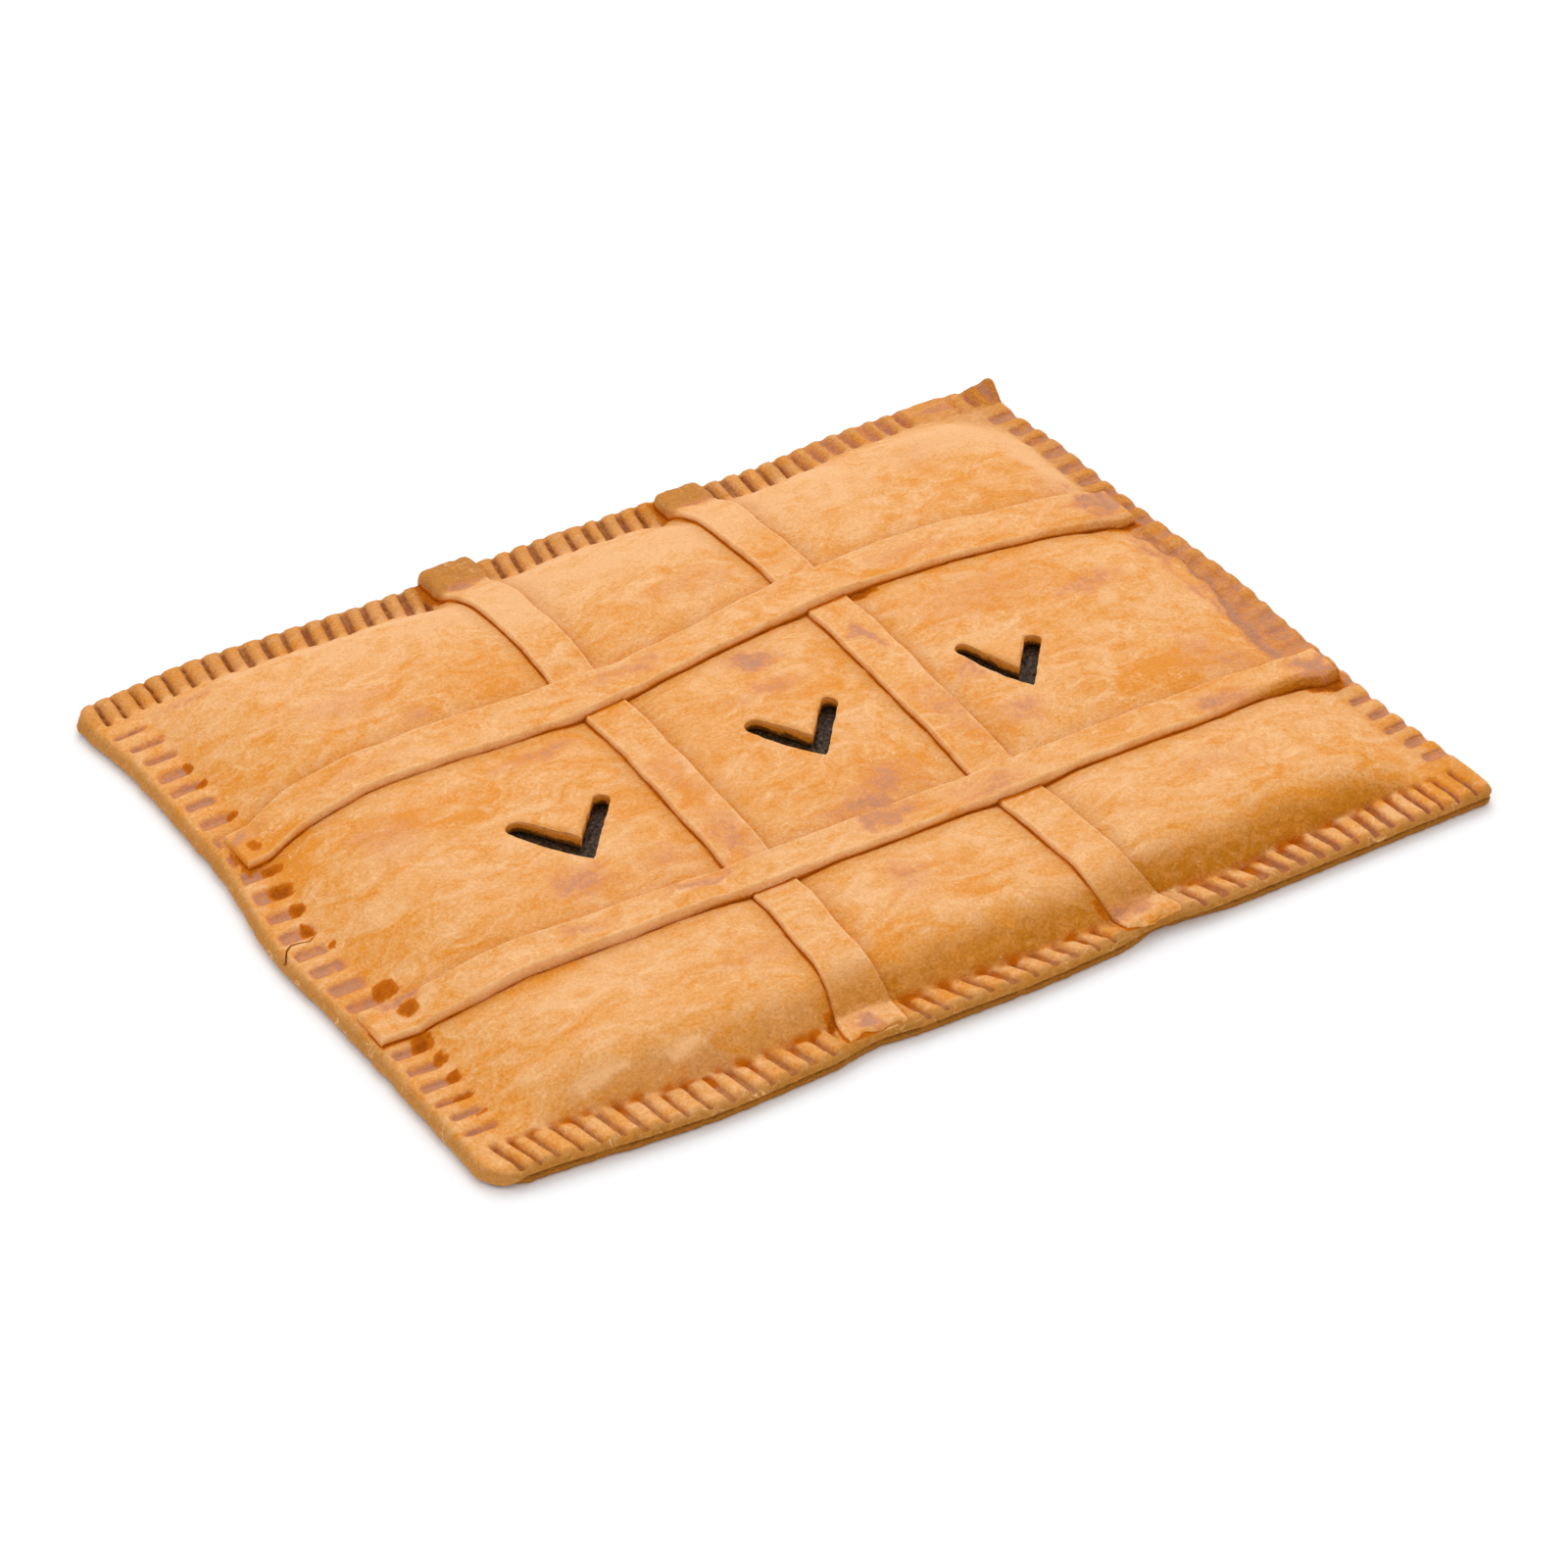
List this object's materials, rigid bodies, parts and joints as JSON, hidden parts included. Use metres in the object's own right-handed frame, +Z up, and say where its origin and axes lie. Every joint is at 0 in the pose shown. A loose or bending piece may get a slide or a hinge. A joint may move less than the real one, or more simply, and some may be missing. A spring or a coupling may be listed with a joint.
{
  "type": "empanada",
  "caption": "Large rectangular baked empanada with a crimped rim, a domed lid cut with V-shaped vents over a dark filling, and a lattice of dough strips.",
  "frame": {"origin": "under the middle of the empanada, on the flat face that it rests on", "axes": "+X along the long side, +Y along the short side away from the picture's near long edge, +Z up"},
  "size_m": [0.384, 0.3, 0.0235],
  "materials": {
    "lid_crust": "egg-washed baked crust, satin",
    "strip_crust": "egg-washed baked crust, satin",
    "base_crust": "baked crust, matt",
    "filling": "moist and grainy"
  },
  "bodies": {
    "root": {"base_sheet": "base_crust", "filling": "filling", "lid_sheet": "lid_crust", "strip_short_left": "strip_crust", "strip_short_right": "strip_crust", "strip_long_back": "strip_crust", "strip_long_front": "strip_crust"}
  },
  "joints": []
}
